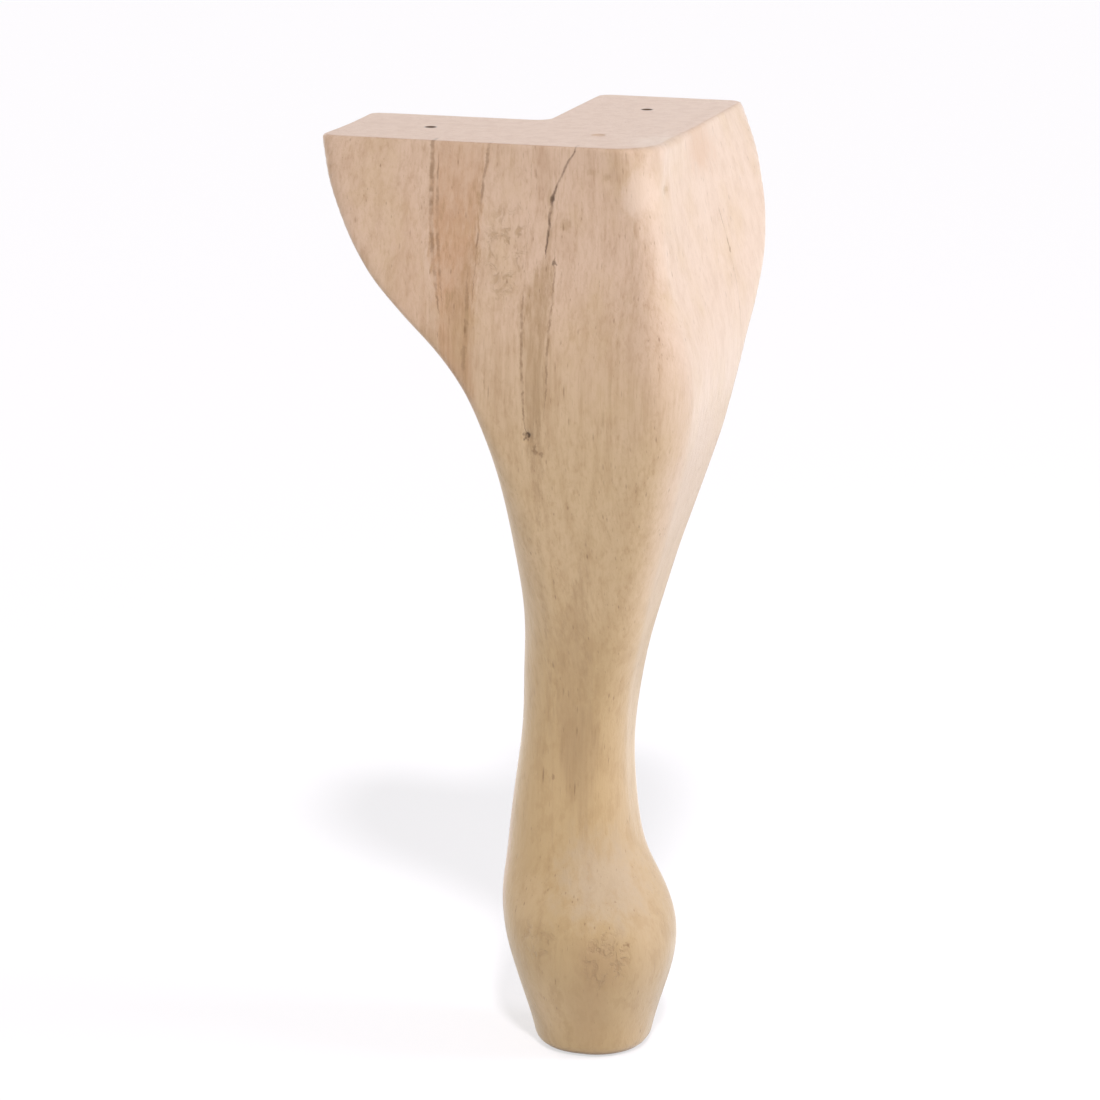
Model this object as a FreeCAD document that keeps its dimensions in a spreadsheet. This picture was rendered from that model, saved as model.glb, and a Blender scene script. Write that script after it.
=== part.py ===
import FreeCAD, Part
import math
import os

import Sketcher
from FreeCAD import Vector

# Cabriole furniture leg, carved in one piece from a square blank with two wings.
# Z is up from the floor and runs through the carving centres of foot and top.
# The wings run along -X and +Y, the show faces look along -Y and +X.

os.makedirs("parts", exist_ok=True)
doc = FreeCAD.newDocument("leg")

# Driving sizes in millimetres
SIZES = {
    "leg_height": 300.0,
    "blank_half": 24.2,
    "wing_reach": 83.4,
    "top_out": 25.0,
    "knee_out": 40.1,
    "ankle_front": 9.6,
    "toe_front": 25.6,
    "base_front": 17.0,
    "heel_back": 32.2,
    "base_back": 18.8,
    "knee_edge": 16.0,
    "tip_edge": 3.5,
    "back_edge": 10.0,
    "inner_edge": 5.0,
    "base_edge": 3.6,
    "wing_edge": 4.0,
    "pilot_dia": 3.5,
    "pilot_depth": 30.0,
    "pilot_reach": 55.0,
    "mark_dia": 5.0,
    "mark_depth": 1.6,
    "waist_depth": 0.6,
    "round_width": 1.2,
}
sheet = doc.addObject("Spreadsheet::Sheet", "Sizes")
for row, (word, value) in enumerate(SIZES.items(), start=1):
    sheet.set("A%d" % row, word)
    sheet.set("B%d" % row, "%g" % value)
    sheet.setAlias("B%d" % row, word)
doc.recompute()


class Size:
    """A length: its value and the sheet expression that drives it."""

    def __init__(self, value, text):
        self.value = value
        self.text = text

    def times(self, factor):
        return Size(self.value * factor, "(%s) * %g" % (self.text, factor))

    def less(self, other):
        return Size(self.value - other.value, "(%s - %s)" % (self.text, other.text))


def size(word):
    return Size(SIZES[word], "Sizes.%s" % word)


def between(first, last, share):
    """The length a given share of the way from one size to another."""
    value = first.value + (last.value - first.value) * share
    return Size(value, "(%s + (%s - %s) * %g)" % (first.text, last.text, first.text, share))


def rounding(word, factor, front, back):
    """A corner radius, held below the full round of its section."""
    full = between(front, back, 0.5).less(size("round_width"))
    wish = size(word).times(factor)
    return Size(min(wish.value, full.value), "min(%s; %s)" % (wish.text, full.text))


height = size("leg_height")
base, toe, ankle = size("base_front"), size("toe_front"), size("ankle_front")
knee, top = size("knee_out"), size("top_out")
sole, heel, wing = size("base_back"), size("heel_back"), size("wing_reach")
# The waist behind the shin is the flat back of the blank, a little below the wing faces
waist = size("blank_half").less(size("waist_depth"))

# Stations of the S-curve from the floor up: name, height as a share of the leg, reach of the show
# faces at the wings and at the ridge, reach of the back faces, rounding of knee, wing-tip and back corners
ROUND = 9.0
STATIONS = (
    ("base", 0.000, base, None, sole, ROUND, ROUND, ROUND),
    ("pad_under", 0.045, between(base, toe, 0.42), None, between(sole, heel, 0.29), ROUND, ROUND, ROUND),
    ("pad", 0.107, toe, None, between(sole, heel, 0.72), ROUND, ROUND, ROUND),
    ("pad_top", 0.157, between(toe, ankle, 0.165), None, between(sole, heel, 0.98), ROUND, ROUND, ROUND),
    ("instep", 0.207, between(toe, ankle, 0.715), None, between(heel, waist, 0.02), ROUND, ROUND, ROUND),
    ("ankle_low", 0.267, between(toe, ankle, 0.965), None, between(heel, waist, 0.22), 1.0, ROUND, ROUND),
    ("ankle", 0.333, ankle, None, between(heel, waist, 0.58), 0.81, ROUND, ROUND),
    ("shin_low", 0.407, between(ankle, knee, 0.096), None, between(heel, waist, 0.80), 0.72, ROUND, 1.95),
    ("shin", 0.483, between(ankle, knee, 0.286), None, between(heel, waist, 0.975), 0.70, 5.5, 1.55),
    ("shin_top", 0.560, between(ankle, knee, 0.502), None, between(waist, wing, 0.003), 0.76, 4.5, 1.2),
    ("calf", 0.633, between(ankle, knee, 0.720), None, between(waist, wing, 0.018), 0.88, 3.1, 1.0),
    ("knee_low", 0.707, between(ankle, knee, 0.905), between(top, knee, 0.78), between(waist, wing, 0.080),
     0.94, 1.7, 0.9),
    ("knee_under", 0.780, between(ankle, knee, 0.992), between(top, knee, 0.80), between(waist, wing, 0.268),
     0.86, 1.2, 0.8),
    ("knee", 0.853, between(ankle, knee, 0.990), between(top, knee, 0.30), between(waist, wing, 0.612),
     0.60, 1.0, 0.8),
    ("shoulder", 0.917, between(knee, top, 0.300), between(top, knee, 0.06), between(waist, wing, 0.828),
     0.60, 1.0, 0.8),
    ("top_under", 0.967, between(knee, top, 0.665), top.times(0.975), between(waist, wing, 0.945),
     0.78, 1.1, 0.8),
    ("top", 1.000, top, None, wing, 1.0, 1.3, 0.8),
)

body = doc.addObject("PartDesign::Body", "cabriole_leg")
body.Label = "cabriole_leg"
origin = {feature.Role: feature for feature in body.Origin.OriginFeatures}


def sketch_at(name, level):
    """A sketch on the horizontal plane at a height driven by the sheet."""
    sketch = body.newObject("Sketcher::SketchObject", name)
    sketch.AttachmentSupport = [(origin["XY_Plane"], "")]
    sketch.MapMode = "FlatFace"
    sketch.setExpression(".AttachmentOffset.Base.z", level.text)
    return sketch


def drive(sketch, constraint, length):
    """Add a dimension and bind it to the sheet."""
    index = sketch.addConstraint(constraint)
    sketch.setExpression("Constraints[%d]" % index, length.text)
    return index


def rounded_kite(sketch, front, ridge, back, knee_r, tip_r, back_r):
    """Section of the leg: two straight backs, two show faces that meet on the ridge, four round corners."""
    k, c, e = front.value, ridge.value, back.value
    points = (Vector(-e, -k, 0), Vector(c, -c, 0), Vector(k, e, 0), Vector(-e, e, 0))
    radii = (tip_r.value, knee_r.value, tip_r.value, back_r.value)
    rounds = []
    for i, (point, radius) in enumerate(zip(points, radii)):
        before, after = (points[i - 1] - point).normalize(), (points[(i + 1) % 4] - point).normalize()
        half = before.getAngle(after) / 2
        middle = point + (before + after).normalize() * (radius / math.sin(half))
        start, end = (point + way * (radius / math.tan(half)) for way in (before, after))
        rounds.append((start, end, middle, radius))
    for i in range(4):
        start, end, middle, radius = rounds[(i + 1) % 4]
        first, last = (math.atan2(p.y - middle.y, p.x - middle.x) for p in (start, end))
        if last < first:
            last += 2 * math.pi
        circle = Part.Circle(middle, Vector(0, 0, 1), radius)
        sketch.addGeometry(Part.LineSegment(rounds[i][1], start), False)
        sketch.addGeometry(Part.ArcOfCircle(circle, first, last), False)
    corners = [sketch.addGeometry(Part.Point(point), True) for point in points[:3]]
    for i in range(4):
        side, corner, following = 2 * i, 2 * i + 1, (2 * i + 2) % 8
        sketch.addConstraint(Sketcher.Constraint("Tangent", side, 2, corner, 1))
        sketch.addConstraint(Sketcher.Constraint("Tangent", corner, 2, following, 1))
    sketch.addConstraint(Sketcher.Constraint("Horizontal", 4))
    sketch.addConstraint(Sketcher.Constraint("Vertical", 6))
    for corner, sides in zip(corners, ((6, 0), (0, 2), (2, 4))):
        for side in sides:
            sketch.addConstraint(Sketcher.Constraint("PointOnObject", corner, 1, side))
    left, knee_point, right = corners
    drive(sketch, Sketcher.Constraint("DistanceX", left, 1, -1, 1, e), back)
    drive(sketch, Sketcher.Constraint("DistanceY", left, 1, -1, 1, k), front)
    drive(sketch, Sketcher.Constraint("DistanceX", -1, 1, knee_point, 1, c), ridge)
    drive(sketch, Sketcher.Constraint("DistanceY", knee_point, 1, -1, 1, c), ridge)
    drive(sketch, Sketcher.Constraint("DistanceX", -1, 1, right, 1, k), front)
    drive(sketch, Sketcher.Constraint("DistanceY", -1, 1, right, 1, e), back)
    for corner, radius in zip((7, 1, 3, 5), (tip_r, knee_r, tip_r, back_r)):
        drive(sketch, Sketcher.Constraint("Radius", corner, radius.value), radius)


# Carved body, lofted through the stations
sections = []
for name, share, front, ridge, back, knee_f, tip_f, back_f in STATIONS:
    section = sketch_at("section_" + name, height.times(share))
    rounded_kite(
        section, front, ridge or front, back,
        rounding("knee_edge", knee_f, front, back),
        rounding("tip_edge", tip_f, front, back),
        rounding("back_edge", back_f, front, back),
    )
    sections.append(section)
doc.recompute()
carved = body.newObject("PartDesign::AdditiveLoft", "carved_body")
carved.Profile = sections[0]
carved.Sections = [(section, [""]) for section in sections[1:]]
carved.Ruled = False
doc.recompute()

# Square notch behind the wings, running out on the back of the shin
notch = sketch_at("notch_outline", height)
h, far, ri = SIZES["blank_half"], 2 * SIZES["wing_reach"], SIZES["inner_edge"]
corner = Part.Circle(Vector(-h - ri, h + ri, 0), Vector(0, 0, 1), ri)
notch.addGeometry(Part.LineSegment(Vector(-far, h, 0), Vector(-h - ri, h, 0)), False)
notch.addGeometry(Part.ArcOfCircle(corner, -math.pi / 2, 0), False)
notch.addGeometry(Part.LineSegment(Vector(-h, h + ri, 0), Vector(-h, far, 0)), False)
notch.addGeometry(Part.LineSegment(Vector(-h, far, 0), Vector(-far, far, 0)), False)
notch.addGeometry(Part.LineSegment(Vector(-far, far, 0), Vector(-far, h, 0)), False)
notch.addConstraint(Sketcher.Constraint("Tangent", 0, 2, 1, 1))
notch.addConstraint(Sketcher.Constraint("Tangent", 1, 2, 2, 1))
for first, second in ((2, 3), (3, 4), (4, 0)):
    notch.addConstraint(Sketcher.Constraint("Coincident", first, 2, second, 1))
for line, way in ((0, "Horizontal"), (2, "Vertical"), (3, "Horizontal"), (4, "Vertical")):
    notch.addConstraint(Sketcher.Constraint(way, line))
drive(notch, Sketcher.Constraint("Radius", 1, ri), size("inner_edge"))
drive(notch, Sketcher.Constraint("DistanceY", -1, 1, 0, 1, h), size("blank_half"))
drive(notch, Sketcher.Constraint("DistanceX", 2, 1, -1, 1, h), size("blank_half"))
drive(notch, Sketcher.Constraint("DistanceY", -1, 1, 3, 1, far), wing.times(2))
drive(notch, Sketcher.Constraint("DistanceX", 3, 2, -1, 1, far), wing.times(2))
behind = body.newObject("PartDesign::Pocket", "wing_notch")
behind.Profile = notch
behind.Type = "Length"
behind.setExpression("Length", height.times(0.5).text)
doc.recompute()

# Pilot holes for the fixing screws, drilled on the centre lines of the wings
pilots = sketch_at("pilot_centres", height)
reach, bore = SIZES["pilot_reach"], SIZES["pilot_dia"]
for i, centre in enumerate((Vector(-reach, 0, 0), Vector(0, reach, 0))):
    pilots.addGeometry(Part.Circle(centre, Vector(0, 0, 1), bore / 2), False)
    drive(pilots, Sketcher.Constraint("Diameter", i, bore), size("pilot_dia"))
pilots.addConstraint(Sketcher.Constraint("PointOnObject", 0, 3, -1))
pilots.addConstraint(Sketcher.Constraint("PointOnObject", 1, 3, -2))
drive(pilots, Sketcher.Constraint("DistanceX", 0, 3, -1, 1, reach), size("pilot_reach"))
drive(pilots, Sketcher.Constraint("DistanceY", -1, 1, 1, 3, reach), size("pilot_reach"))
doc.recompute()
drilled = body.newObject("PartDesign::Hole", "pilot_holes")
drilled.Profile = pilots
drilled.Threaded = False
drilled.DepthType = "Dimension"
drilled.DrillPoint = "Angled"
drilled.DrillPointAngle = 118
drilled.setExpression("Diameter", "Sizes.pilot_dia")
drilled.setExpression("Depth", "Sizes.pilot_depth")
doc.recompute()

# Carving centre in the top face: a shallow cone
mark = body.newObject("Sketcher::SketchObject", "mark_profile")
mark.AttachmentSupport = [(origin["XZ_Plane"], "")]
mark.MapMode = "FlatFace"
full, rim, deep = SIZES["leg_height"], SIZES["mark_dia"] / 2, SIZES["mark_depth"]
corners = (Vector(0, full - deep, 0), Vector(rim, full, 0), Vector(0, full, 0))
for i in range(3):
    mark.addGeometry(Part.LineSegment(corners[i], corners[(i + 1) % 3]), False)
for i in range(3):
    mark.addConstraint(Sketcher.Constraint("Coincident", i, 2, (i + 1) % 3, 1))
mark.addConstraint(Sketcher.Constraint("Horizontal", 1))
mark.addConstraint(Sketcher.Constraint("PointOnObject", 0, 1, -2))
mark.addConstraint(Sketcher.Constraint("PointOnObject", 2, 1, -2))
drive(mark, Sketcher.Constraint("DistanceY", -1, 1, 2, 1, full), height)
drive(mark, Sketcher.Constraint("DistanceX", 2, 1, 1, 1, rim), size("mark_dia").times(0.5))
drive(mark, Sketcher.Constraint("DistanceY", 0, 1, 2, 1, deep), size("mark_depth"))
centred = body.newObject("PartDesign::Groove", "carving_centre")
centred.Profile = mark
centred.ReferenceAxis = (mark, ["V_Axis"])
centred.Angle = 360
doc.recompute()


def ease(name, base_feature, edges, word):
    """Round some edges of a feature by a radius from the sheet."""
    names = [
        "Edge%d" % i
        for i, edge in enumerate(base_feature.Shape.Edges, start=1)
        if any(edge.isSame(wanted) for wanted in edges)
    ]
    if not names:
        raise RuntimeError("%s finds no edge" % name)
    fillet = body.newObject("PartDesign::Fillet", name)
    fillet.Base = (base_feature, names)
    fillet.setExpression("Radius", "Sizes." + word)
    doc.recompute()
    return fillet


def flat_faces(shape, upright):
    """Plane faces of a shape: the upright ones, or the level ones."""
    planes = [face for face in shape.Faces if face.Surface.TypeId == "Part::GeomPlane"]
    return [face for face in planes if (abs(face.normalAt(0, 0).z) < 0.5) == upright]


# Eased lower edges of the wings, where their flat backs meet the curved undersides
backs = flat_faces(centred.Shape, True)
curved = [edge for face in backs for edge in face.Edges if edge.Curve.TypeId != "Part::GeomLine"]
wings = ease("wing_edges", centred, curved, "wing_edge")

# Rounded rim of the foot
sole_face = min(flat_faces(wings.Shape, False), key=lambda face: face.CenterOfMass.z)
foot = ease("foot_rim", wings, sole_face.Edges, "base_edge")
body.Tip = foot
doc.recompute()

for item in doc.Objects:
    if "Invalid" in item.State or "Error" in item.State:
        raise RuntimeError("%s did not build: %s" % (item.Name, item.State))
if body.Shape.isNull() or not body.Shape.isValid() or len(body.Shape.Solids) != 1:
    raise RuntimeError("the leg is not one valid solid")
body.Shape.exportStep("parts/cabriole_leg.step")
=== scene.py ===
import math

import bpy
import numpy as np
from bpy.props import FloatProperty, FloatVectorProperty, PointerProperty
from mathutils import Matrix, Vector
from mathutils.geometry import delaunay_2d_cdt


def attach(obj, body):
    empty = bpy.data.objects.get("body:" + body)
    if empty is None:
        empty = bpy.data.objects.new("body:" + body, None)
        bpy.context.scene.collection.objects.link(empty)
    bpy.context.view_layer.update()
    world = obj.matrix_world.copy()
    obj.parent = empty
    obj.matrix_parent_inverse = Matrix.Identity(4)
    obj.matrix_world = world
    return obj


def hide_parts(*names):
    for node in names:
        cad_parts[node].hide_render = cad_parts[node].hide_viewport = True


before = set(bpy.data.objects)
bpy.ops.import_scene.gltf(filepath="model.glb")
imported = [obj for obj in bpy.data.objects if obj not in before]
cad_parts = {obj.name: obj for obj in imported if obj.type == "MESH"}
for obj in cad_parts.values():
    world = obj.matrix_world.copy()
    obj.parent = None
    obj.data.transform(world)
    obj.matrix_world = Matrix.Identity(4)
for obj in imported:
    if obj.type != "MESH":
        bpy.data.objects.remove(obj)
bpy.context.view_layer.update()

bl_info = {
    "name": "Cabriole leg",
    "version": (1, 0, 0),
    "blender": (4, 5, 0),
    "location": "View3D > Sidebar > Leg",
    "description": "Raw carved wooden cabriole leg with wings, knee, ankle and pad foot",
    "category": "Add Mesh",
}

MM = 0.001


def length(name, millimetres, words):
    """A length property in metres, given in millimetres."""
    return FloatProperty(name=name, description=words, default=millimetres * MM, min=0.0, unit="LENGTH")


def tint(name, colour, words):
    """A linear colour property."""
    return FloatVectorProperty(
        name=name, description=words, default=colour, size=3, min=0.0, max=1.0, subtype="COLOR"
    )


def amount(name, default, words):
    """A plain factor from 0 to 10."""
    return FloatProperty(name=name, description=words, default=default, min=0.0, max=10.0)


class LegSizes(bpy.types.PropertyGroup):
    """Sizes of the carved leg, the same as those of its solid."""

    leg_height: length("Height", 300.0, "Floor to top face")
    blank_half: length("Half blank", 24.2, "Axis to the flat back of a wing")
    wing_reach: length("Wing reach", 83.4, "Axis to the tip of a wing")
    top_out: length("Top reach", 25.0, "Axis to a show face at the top")
    knee_out: length("Knee reach", 40.1, "Axis to a show face at the knee")
    ankle_front: length("Ankle front", 9.6, "Axis to the front of the ankle")
    toe_front: length("Toe front", 25.6, "Axis to the front of the pad")
    base_front: length("Base front", 17.0, "Axis to the front of the base")
    heel_back: length("Heel back", 32.2, "Axis to the back of the heel")
    base_back: length("Base back", 18.8, "Axis to the back of the base")
    knee_edge: length("Knee rounding", 16.0, "Corner radius along the knee ridge")
    tip_edge: length("Wing rounding", 3.5, "Corner radius along the wings")
    back_edge: length("Back rounding", 10.0, "Corner radius behind the shin")
    inner_edge: length("Inside corner", 5.0, "Radius of the corner between the wings")
    wing_edge: length("Wing back edge", 4.0, "Radius along the lower back edges of the wings")
    base_edge: length("Foot rim", 3.6, "Radius round the base")
    waist_depth: length("Waist depth", 0.6, "Wing backs to the waist behind the shin")
    round_width: length("Round width", 1.2, "Least flat left beside a full round")
    top_edge: length("Top easing", 0.8, "Worn radius round the top face")
    worn_edge: length("Worn top edge", 2.6, "Radius where the top edge is worn softest")
    pilot_dia: length("Pilot hole", 3.5, "Diameter of the screw holes")
    pilot_depth: length("Pilot depth", 30.0, "Depth of the screw holes")
    pilot_reach: length("Pilot reach", 55.0, "Axis to a screw hole")
    mark_dia: length("Centre mark", 5.0, "Diameter of the carving centre")
    mark_depth: length("Centre depth", 1.6, "Depth of the carving centre")


class WoodLook(bpy.types.PropertyGroup):
    """Colours of the raw wood, and painted light and shade laid on it."""

    pale: tint("Pale wood", (0.61, 0.427, 0.315), "Fresh pinkish wood round the knee")
    # Painted light: paler, pinker colour for the right show face where the side lamp lights it
    painted_side_light: tint("Rosy wood", (0.62, 0.462, 0.365), "Smooth pale wood of the right show face")
    fair: tint("Shin wood", (0.575, 0.405, 0.242), "Wood of the shin")
    tan: tint("Tan wood", (0.515, 0.352, 0.186), "Yellower wood from the ankle to the foot")
    dusty: tint("Foot wood", (0.445, 0.305, 0.160), "Duller wood of the foot")
    red: tint("Red heart", (0.490, 0.284, 0.166), "Redder growth band on the left wing")
    brown: tint("Brown band", (0.36, 0.225, 0.115), "Darker growth bands")
    fibre: tint("Fibres", (0.72, 0.635, 0.53), "Share of the colour left in darker fibres")
    # Also the painted contact shadow round the sole where it stands
    vessel_and_sole_shade: tint("Vessels", (0.20, 0.105, 0.045), "Open pores along the grain")
    # Painted shade: near black for the shaded inside of drying checks, screw holes and small pits
    check: tint("Drying checks", (0.075, 0.036, 0.016), "Inside of cracks and holes")
    worn: tint("Rubbed wood", (0.415, 0.322, 0.248), "Paler wood on top of the pad")
    # Painted highlight: paler colour where the worn corner over the knee faces the light
    knee_highlight: tint("Bared wood", (0.70, 0.53, 0.43), "Fresh wood at the worn corner over the knee")
    sawn: tint("Sawn top", (0.478, 0.285, 0.190), "End grain of the top face")


class StageLook(bpy.types.PropertyGroup):
    """Floor, lamps and view."""

    key: amount("Key lamp", 1.8, "Soft lamp above the view")
    side: amount("Side lamp", 3.3, "Square lamp on the right")
    rim: amount("Rim lamp", 1.4, "Weak lamp from behind on the left")
    sky: amount("Sky", 0.42, "Even light from all round")
    floor: tint("Floor", (0.90, 0.90, 0.90), "Colour of the floor as it lights the leg")
    shade: tint("Floor shade", (0.39, 0.372, 0.394), "Share of light and shadow seen on the floor")
    glow: amount("Floor white", 0.612, "Light added to the floor as it is seen")
    lens: FloatProperty(name="Lens", description="Focal length in millimetres", default=130.9, min=10.0)


# Shape of the leg

# Rays from the core line: length, number of halvings, and height shares between which the core turns upright
RAY_REACH, HALVINGS, CORE_TURN = 140 * MM, 34, (0.50, 0.76)

# Columns: points tried round the leg, height share where they are spread, and millimetres between them
ROUND_POINTS, SPREAD_LEVEL = 12001, 0.915
FRONT_STEP, KNEE_STEP, PLAIN_STEP = 0.5, 0.9, 1.6

# Part of the front with the closest columns: it lies before a depth and between two places across
FRONT_DEPTH, FRONT_LEFT, FRONT_RIGHT = -24 * MM, -50 * MM, 5 * MM

# Rows: how many round the two rims, height share where the shin ends, and millimetres between rows
BASE_ROWS, EDGE_ROWS, SHIN_END = 6, 9, 0.66
SHIN_ROW_STEP, KNEE_ROW_STEP = 1.75, 1.0

# Where the top edge is worn softest: direction from the axis and spread in degrees, share of the full wear
WORN_PLACES = ((-12.0, 50.0, 1.0), (180.0, 14.0, 0.7))

# Least corner radius, step in height for reading a slope, and a depth that stands for no notch
LEAST_RADIUS, SLOPE_STEP, NO_NOTCH = 0.5 * MM, 0.5 * MM, -1.0

# Sides of a drilled hole, and the slope of a drill's point
HOLE_SIDES, DRILL_SLOPE = 36, math.radians(31)


def between(first, last, share):
    """The length a given share of the way from one size to another."""
    return first + (last - first) * share


def stations(s):
    """Stations of the S-curve as rows of height, three reaches and three radii.

    A row holds the height, the reach of the show faces at the wings and at the ridge, the reach of the
    backs, and the corner radii of the knee ridge, the wing edges and the back. Each reach is a share of
    the way between two named sizes, so the curve follows its sizes. None is a ridge as far out as the
    wings. Each radius is a share of its named size, and none passes a full round.
    """
    waist = s.blank_half - s.waist_depth
    base, toe, ankle, knee, top = s.base_front, s.toe_front, s.ankle_front, s.knee_out, s.top_out
    sole, heel, wing = s.base_back, s.heel_back, s.wing_reach
    # A share this large always ends as a full round
    most = 9.0
    rows = (
        (0.000, base, None, sole, most, most, most),
        (0.045, between(base, toe, 0.42), None, between(sole, heel, 0.29), most, most, most),
        (0.107, toe, None, between(sole, heel, 0.72), most, most, most),
        (0.157, between(toe, ankle, 0.165), None, between(sole, heel, 0.98), most, most, most),
        (0.207, between(toe, ankle, 0.715), None, between(heel, waist, 0.02), most, most, most),
        (0.267, between(toe, ankle, 0.965), None, between(heel, waist, 0.22), 1.0, most, most),
        (0.333, ankle, None, between(heel, waist, 0.58), 0.81, most, most),
        (0.407, between(ankle, knee, 0.096), None, between(heel, waist, 0.80), 0.72, most, 1.95),
        (0.483, between(ankle, knee, 0.286), None, between(heel, waist, 0.975), 0.70, 5.5, 1.55),
        (0.560, between(ankle, knee, 0.502), None, between(waist, wing, 0.003), 0.76, 4.5, 1.2),
        (0.633, between(ankle, knee, 0.720), None, between(waist, wing, 0.018), 0.88, 3.1, 1.0),
        (0.707, between(ankle, knee, 0.905), between(top, knee, 0.78), between(waist, wing, 0.080),
         0.94, 1.7, 0.9),
        (0.780, between(ankle, knee, 0.992), between(top, knee, 0.80), between(waist, wing, 0.268),
         0.86, 1.2, 0.8),
        (0.853, between(ankle, knee, 0.990), between(top, knee, 0.30), between(waist, wing, 0.612),
         0.60, 1.0, 0.8),
        (0.917, between(knee, top, 0.300), between(top, knee, 0.06), between(waist, wing, 0.828),
         0.60, 1.0, 0.8),
        (0.967, between(knee, top, 0.665), top * 0.975, between(waist, wing, 0.945), 0.78, 1.1, 0.8),
        (1.000, top, None, wing, 1.0, 1.3, 0.8),
    )
    table = np.array([[row[1] if value is None else value for value in row] for row in rows])
    table[:, 0] *= s.leg_height
    full = (table[:, 1] + table[:, 3]) / 2 - s.round_width
    table[:, 4:] = np.minimum(table[:, 4:] * (s.knee_edge, s.tip_edge, s.back_edge), full[:, None])
    return table


def spline(knots, values, at):
    """Cubic spline through the values: bends follow from a linear system, and are zero at both ends."""
    n = len(knots)
    gap = np.diff(knots)
    slope = np.diff(values) / gap
    system, right = np.eye(n), np.zeros(n)
    i = np.arange(1, n - 1)
    system[i, i - 1], system[i, i], system[i, i + 1] = gap[:-1], 2 * (gap[:-1] + gap[1:]), gap[1:]
    right[i] = 6 * np.diff(slope)
    bend = np.linalg.solve(system, right)
    k = np.clip(np.searchsorted(knots, at) - 1, 0, n - 2)
    u = at - knots[k]
    first = slope[k] - gap[k] * (2 * bend[k] + bend[k + 1]) / 6
    return values[k] + u * (first + u * (bend[k] / 2 + u * (bend[k + 1] - bend[k]) / (6 * gap[k])))


def rounded_corner(a, b):
    """Distance to a convex square corner: straight outside each side, round outside both."""
    return np.minimum(np.maximum(a, b), 0) + np.hypot(np.maximum(a, 0), np.maximum(b, 0))


def rounded_by(depth, vx, vy, first, last, r):
    """Depth with a round of radius r where the way from its centre lies between two side normals."""
    within = (first[0] * vy - first[1] * vx >= 0) & (vx * last[1] - vy * last[0] >= 0)
    return np.where(within, np.hypot(vx, vy) - r, depth)


def kite_depth(x, y, front, ridge, back, knee_r, tip_r, back_r):
    """Signed distance from the full section: two straight backs and two show faces that meet on the ridge.

    It is the largest distance from the four sides, save in the four corners, where it is the distance
    from a corner's centre less its radius. The right half is the mirror of the left in the plane x = -y.
    """
    run, drop = back + ridge, front - ridge
    slant = np.hypot(run, drop)
    ahead = (drop / slant, -run / slant)
    aside = (run / slant, -drop / slant)
    rx, ry = x - ridge, y + ridge
    depth = np.maximum(
        np.maximum(rx * ahead[0] + ry * ahead[1], rx * aside[0] + ry * aside[1]),
        np.maximum(-x - back, y - back),
    )
    inward = knee_r * slant / (run + drop)
    depth = rounded_by(depth, rx + inward, ry - inward, ahead, aside, knee_r)
    rise = tip_r * (1 + ahead[0]) * slant / run
    for u, v in ((x, y), (-y, -x)):
        depth = rounded_by(depth, u + back - tip_r, v + front - rise, (-1.0, 0.0), ahead, tip_r)
    return rounded_by(depth, x + back - back_r, y - back + back_r, (0.0, 1.0), (-1.0, 0.0), back_r)


def wood_depth(x, y, z, s, table):
    """Signed distance from the leg's side surface at a height, negative in the wood.

    It is the full section less the square notch behind the wings, with the edges between the two rounded.
    """
    reaches = [spline(table[:, 0], table[:, i], z) for i in range(1, 4)]
    half = (reaches[0] + reaches[2]) / 2
    radii = [np.clip(spline(table[:, 0], table[:, i], z), LEAST_RADIUS, half) for i in range(4, 7)]
    whole = kite_depth(x, y, *reaches, *radii)
    flare = (spline(table[:, 0], table[:, 3], z + SLOPE_STEP) - reaches[2]) / SLOPE_STEP
    square = s.blank_half + s.inner_edge
    notch = s.inner_edge - rounded_corner(x + square, square - y)
    notch = np.where(z > s.leg_height / 2, notch, NO_NOTCH)
    e, true = s.wing_edge, whole / np.sqrt(1 + flare**2)
    cut = rounded_corner(true + e, notch + e) - e
    return np.where(notch < -e, whole, cut)


def rim_inset(angles, z, s):
    """How far the sides draw in at the foot rim and the worn top edge: a quarter circle each.

    The radius of the top edge grows by bell curves over the knee ridge, towards the right show face and
    at the tip of the left wing.
    """
    low = np.clip(s.base_edge - z, 0, s.base_edge)
    worn = 0.0
    for direction, spread, share in WORN_PLACES:
        off = np.mod(np.degrees(angles) - direction + 180, 360) - 180
        worn = worn + share * np.exp(-((off / spread) ** 2))
    edge = s.top_edge + (s.worn_edge - s.top_edge) * np.minimum(worn, 1.0)
    high = np.clip(z - (s.leg_height - edge), 0, edge)
    return s.base_edge - np.sqrt(s.base_edge**2 - low**2) + edge - np.sqrt(edge**2 - high**2)


def smooth_step(low, high, value):
    """Cubic ease from 0 below low to 1 above high."""
    t = np.clip((value - low) / (high - low), 0, 1)
    return t * t * (3 - 2 * t)


def side_points(angles, z, s, table):
    """Points of the side surface along rays from the leg's curved core line, found by halving."""
    front, back = spline(table[:, 0], table[:, 1], z), spline(table[:, 0], table[:, 3], z)
    core = (front - back) / 2 * (1 - smooth_step(*CORE_TURN, z / s.leg_height))
    dx, dy = np.cos(angles), np.sin(angles)
    shape = np.broadcast(angles, z).shape
    near, far = np.zeros(shape), np.full(shape, RAY_REACH)
    inset = rim_inset(angles, z, s)
    for _ in range(HALVINGS):
        middle = (near + far) / 2
        inside = wood_depth(core + middle * dx, -core + middle * dy, z, s, table) + inset < 0
        near, far = np.where(inside, middle, near), np.where(inside, far, middle)
    return core + near * dx, -core + near * dy


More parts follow.
